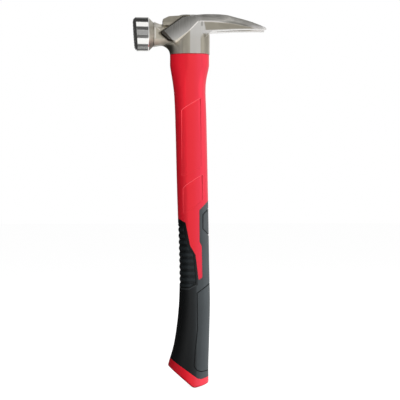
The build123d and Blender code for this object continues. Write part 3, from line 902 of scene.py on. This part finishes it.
class HammerStudio(bpy.types.PropertyGroup):
    """The camera and the lights"""
    distance: bpy.props.FloatProperty(
        name="Camera distance", description="From the camera to the middle of the hammer",
        subtype="DISTANCE", unit="LENGTH", default=1.3, min=0.3)
    azimuth: bpy.props.FloatProperty(
        name="Camera azimuth", description="Turn of the camera round the hammer, from square on", subtype="ANGLE",
        default=math.radians(-4.7))
    lens: bpy.props.FloatProperty(
        name="Lens", description="Focal length in millimetres on a 36 mm sensor", default=107.2, min=20.0)
    key: bpy.props.FloatProperty(
        name="Key light", description="Power of the large light on the right", subtype="POWER", default=17.0, min=0.0)
    front: bpy.props.FloatProperty(
        name="Front light", description="Power of the light beside the camera", subtype="POWER", default=14.0, min=0.0)
    ambient: bpy.props.FloatProperty(
        name="Ambient", description="Strength of the studio's plain light on matt surfaces", default=0.22, min=0.0)


# Pieces

class HAMMER_OT_head(bpy.types.Operator):
    """Forged head: softened edges and part-polished steel"""
    bl_idname = "hammer.head"
    bl_label = "Forged head"

    def execute(self, context):
        steel = ForgedSteel(context.scene.hammer_steel).finish()
        head = softened("head", "forged_head", HARD_ROUND)
        with edited(head.data) as form:
            cut = bmesh.ops.bisect_plane(
                form, geom=form.verts[:] + form.edges[:] + form.faces[:],
                plane_co=FACE_MIDDLE - FACE_OUT * TOOTH_FLOOR * MM, plane_no=FACE_OUT, clear_outer=True)
            bmesh.ops.holes_fill(form, edges=[e for e in cut["geom_cut"] if isinstance(e, bmesh.types.BMEdge)])
        finished(head, steel, "forged_steel", "head")

        teeth = placed("milled_face", bpy.data.meshes.new("milled_face"))
        tooth_tree().grow(teeth, steel, Depth=context.scene.hammer_steel.tooth_depth * MM)
        turn = FACE_OUT.to_track_quat("Z", "Y").to_matrix().to_4x4()
        teeth.data.transform(Matrix.Translation(FACE_MIDDLE) @ turn)
        finished(teeth, steel, "forged_steel")
        return {"FINISHED"}


class HAMMER_OT_eye(bpy.types.Operator):
    """What shows in the eye and the nail groove: rod end, epoxy and magnet"""
    bl_idname = "hammer.eye"
    bl_label = "Rod end, epoxy and magnet"

    def execute(self, context):
        repaint("fibreglass_core", glass_fibre())
        repaint("eye_resin", cast_resin())
        repaint("nail_set_magnet", plated_magnet())
        return {"FINISHED"}


class HAMMER_OT_jacket(bpy.types.Operator):
    """Red moulded jacket and butt"""
    bl_idname = "hammer.jacket"
    bl_label = "Jacket and butt"

    def execute(self, context):
        handle = context.scene.hammer_handle
        jacket = softened("jacket", "red_jacket", HARD_ROUND)
        finished(jacket, moulded_red("moulded_red", handle), "red_plastic", "jacket")
        butt = softened("butt_cap", "red_butt", HARD_ROUND)
        finished(butt, moulded_red("moulded_red_butt", handle), "red_cap_plastic", "butt_cap")
        return {"FINISHED"}


class HAMMER_OT_grip(bpy.types.Operator):
    """Grey rubber grip with its grooved palm panels"""
    bl_idname = "hammer.grip"
    bl_label = "Rubber grip"

    def execute(self, context):
        grip = softened("grip", "rubber_grip", SOFT_ROUND)
        finished(grip, grey_rubber(context.scene.hammer_handle), "grey_rubber", "grip")
        return {"FINISHED"}


class HAMMER_OT_finger_grip(bpy.types.Operator):
    """Black ribbed insert for the fingers"""
    bl_idname = "hammer.finger_grip"
    bl_label = "Ribbed finger grip"

    def execute(self, context):
        handle = context.scene.hammer_handle
        rubber = black_rubber(handle)
        pad = pad_blank("ribbed_finger_grip")
        rib_tree().grow(pad, rubber, Pitch=handle.rib_pitch * MM, Depth=handle.rib_depth * MM)
        finished(pad, rubber, "black_rubber", "finger_grip")
        return {"FINISHED"}


# Studio, in metres. The bell mirrors the cards and the floor's strips, so these are placed by their angle from the
# bell, above the line from there to the camera. Negative angles lie below it

AIM = Vector((0.001, 0.0, 0.203))
SENSOR_WIDTH = 36.0

# Name, the setting and the share of it that gives the power, place, height that it aims at, width and height
LIGHTS = (
    ("key", "key", 1.0, (1.25, -0.60, 0.55), 0.22, 0.7, 0.9),
    ("front", "front", 1.0, (0.30, -1.4, 0.75), 0.25, 0.6, 0.6),
    ("fill", "key", 0.16, (-1.0, -1.1, 0.35), 0.22, 0.5, 0.9),
    ("back", "key", 0.8, (-0.5, 1.5, 0.7), 0.22, 0.8, 0.8),
)

# The floor: half its width, its matt tone, and its shine to the camera and to gloss rays
FLOOR_HALF = 9.0
FLOOR_MATT = (0.30, 0.30, 0.30)
FLOOR_SHOWN = 0.92
FLOOR_MIRRORED = 0.74

# Its strips: their colours, their angles, and their reach along X in millimetres
STRIP_DARK = (0.15, 0.15, 0.15)
STRIP_GREY = (0.28, 0.28, 0.28)
DARK_STRIPS = ((-98.0, -74.0), (-150.0, -117.0))
GREY_STRIP = (-116.0, -99.0)
STRIPS_X = (-140.0, 0.0)

# Distance of the mirrored cards from the bell, and their reach along X over the head's front
CARD_DISTANCE = 0.34
HEAD_X = (-0.125, -0.005)
# Name, tone, lowest and highest angle, and reach along X
MIRRORED_CARDS = (
    ("card_behind_top", 0.30, 130.0, 165.0, HEAD_X),
    ("card_top", 0.05, 83.0, 130.0, HEAD_X),
    ("card_front_top", 0.10, 22.0, 46.0, HEAD_X),
    ("card_front_high", 0.37, -8.0, 21.0, HEAD_X),
    ("card_front", 0.17, -32.0, -9.0, HEAD_X),
    ("card_right_front", 0.70, -30.0, 60.0, (-0.005, 0.535)),
)
# Name, tone, and reach along X, Y and Z
SIDE_CARDS = (
    ("card_left", 0.05, (-0.6, -0.6), (-1.2, 7.0), (0.01, 3.0)),
    ("card_low_left", 0.05, (-1.6, -0.15), (-0.8, 1.3), (0.01, 0.01)),
    ("card_over", 0.36, (0.14, 0.9), (-0.5, 0.5), (0.95, 0.95)),
    ("card_right", 0.30, (0.7, 0.7), (-0.5, 0.5), (0.45, 0.9)),
)


def plate(name, corners):
    """A flat piece of the stage."""
    mesh = bpy.data.meshes.new(name)
    mesh.from_pydata([Vector(c) for c in corners], [], [range(len(corners))])
    obj = placed(name, mesh)
    return obj


def sheet(xs, ys, zs):
    """The corners of a rectangle that stands across X or lies level."""
    (x0, x1), (y0, y1), (z0, z1) = xs, ys, zs
    if x0 == x1:
        return [(x0, y0, z0), (x0, y1, z0), (x0, y1, z1), (x0, y0, z1)]
    return [(x0, y0, z0), (x1, y0, z0), (x1, y1, z0), (x0, y1, z0)]


def arc_sheet(low, high, xs):
    """The corners of a rectangle along X, between two angles from the bell."""
    corners = []
    for angle, x in ((low, xs[0]), (low, xs[1]), (high, xs[1]), (high, xs[0])):
        a = math.radians(angle)
        corners.append((x, -CARD_DISTANCE * math.cos(a), FACE_MIDDLE.z + CARD_DISTANCE * math.sin(a)))
    return corners


def card(name, tone, corners):
    """A grey plate that only gloss rays see."""
    obj = plate(name, corners)
    f = Finish(name)
    obj.data.materials.append(f.closed(f.glow((tone, tone, tone))))
    for rays in ("camera", "diffuse", "shadow", "transmission"):
        setattr(obj, f"visible_{rays}", False)


def aimed(obj, place, aim):
    """Stands a light or the camera at a place, turned to its aim."""
    obj.location = place
    obj.rotation_euler = (Vector(aim) - Vector(place)).to_track_quat("-Z", "Y").to_euler()
    return obj


def area_light(name, place, aim_height, power, width, height):
    """A soft light on the hammer that leaves no mirror image of its own."""
    data = bpy.data.lights.new(name, "AREA")
    data.shape = "RECTANGLE"
    data.size = width
    data.size_y = height
    data.energy = power
    aimed(placed(name, data), place, (0.0, 0.0, aim_height)).visible_glossy = False


class HAMMER_OT_studio(bpy.types.Operator):
    """Camera, white background, pale floor, soft lights and the grey cards that the steel mirrors"""
    bl_idname = "hammer.studio"
    bl_label = "Studio"

    def execute(self, context):
        scene = context.scene
        studio = scene.hammer_studio
        turn = studio.azimuth
        data = bpy.data.cameras.new("camera")
        data.lens = studio.lens
        data.sensor_width = SENSOR_WIDTH
        place = AIM + studio.distance * Vector((math.sin(turn), -math.cos(turn), 0.0))
        scene.camera = aimed(placed("camera", data), place, AIM)
        self.background(scene, studio.ambient)
        self.floor()
        for name, setting, share, place, aim_height, width, height in LIGHTS:
            area_light(name, place, aim_height, getattr(studio, setting) * share, width, height)
        for name, tone, low, high, xs in MIRRORED_CARDS:
            card(name, tone, arc_sheet(low, high, xs))
        for name, tone, xs, ys, zs in SIDE_CARDS:
            card(name, tone, sheet(xs, ys, zs))
        scene.view_settings.view_transform = "Standard"
        return {"FINISHED"}

    def background(self, scene, ambient):
        """White to the camera, in gloss and through glass, and dimmer as light on matt surfaces."""
        world = bpy.data.worlds.new("studio")
        scene.world = world
        world.use_nodes = True
        board = Board(world.node_tree)
        camera, gloss, through = board.rays("Camera", "Glossy", "Transmission")
        strength = camera.most(gloss).most(through) * (1.0 - ambient) + ambient
        glow = board.add("ShaderNodeBackground", {"Color": (*WHITE, 1.0), "Strength": strength})
        board.add("ShaderNodeOutputWorld", {"Surface": glow})

    def floor(self):
        """Pale floor. To gloss rays alone, it shows darker strips along X near the head."""
        reach = (-FLOOR_HALF, FLOOR_HALF)
        floor = plate("floor", sheet(reach, reach, (0.0, 0.0)))
        f = Finish("pale_floor")
        camera, gloss = f.rays("Camera", "Glossy")
        matt = f.add("ShaderNodeBsdfDiffuse", {"Color": f.colour(FLOOR_MATT)})
        glow = f.glow(WHITE, camera * FLOOR_SHOWN + gloss * FLOOR_MIRRORED)
        plain = f.add("ShaderNodeAddShader", {0: matt, 1: glow})
        x, y, _ = f.axes()
        height = FACE_MIDDLE.z / MM

        def strip(low, high):
            """1 on the floor between two angles from the bell."""
            return (y > height / math.tan(math.radians(high))) * (y < height / math.tan(math.radians(low)))

        dark = strip(*DARK_STRIPS[0]) + strip(*DARK_STRIPS[1])
        grey = strip(*GREY_STRIP)
        shown = (x > STRIPS_X[0]) * (x < STRIPS_X[1]) * (dark + grey) * gloss
        both = f.add("ShaderNodeMixShader", {0: shown, 1: plain, 2: f.glow(f.blend(grey, STRIP_DARK, STRIP_GREY))})
        floor.data.materials.append(f.closed(both))


PIECES = (HAMMER_OT_head, HAMMER_OT_eye, HAMMER_OT_jacket, HAMMER_OT_grip, HAMMER_OT_finger_grip, HAMMER_OT_studio)
GROUPS = {"hammer_steel": HammerSteel, "hammer_handle": HammerHandle, "hammer_studio": HammerStudio}


class HAMMER_PT_pieces(bpy.types.Panel):
    """All of the hammer's settings and a button for each piece"""
    bl_idname = "HAMMER_PT_pieces"
    bl_label = "Framing hammer"
    bl_space_type = "VIEW_3D"
    bl_region_type = "UI"
    bl_category = "Hammer"

    def draw(self, context):
        for group in GROUPS:
            box = self.layout.box()
            settings = getattr(context.scene, group)
            for name in settings.__annotations__:
                box.prop(settings, name)
        for piece in PIECES:
            self.layout.operator(piece.bl_idname)


def register():
    for name, group in GROUPS.items():
        bpy.utils.register_class(group)
        setattr(bpy.types.Scene, name, bpy.props.PointerProperty(type=group))
    for piece in PIECES:
        bpy.utils.register_class(piece)
    bpy.utils.register_class(HAMMER_PT_pieces)


def unregister():
    bpy.utils.unregister_class(HAMMER_PT_pieces)
    for piece in reversed(PIECES):
        bpy.utils.unregister_class(piece)
    for name, group in GROUPS.items():
        delattr(bpy.types.Scene, name)
        bpy.utils.unregister_class(group)


def main():
    """Builds all of the pieces and the studio."""
    register()
    for piece in PIECES:
        group, action = piece.bl_idname.split(".")
        getattr(getattr(bpy.ops, group), action)()


if __name__ == "__main__":
    main()
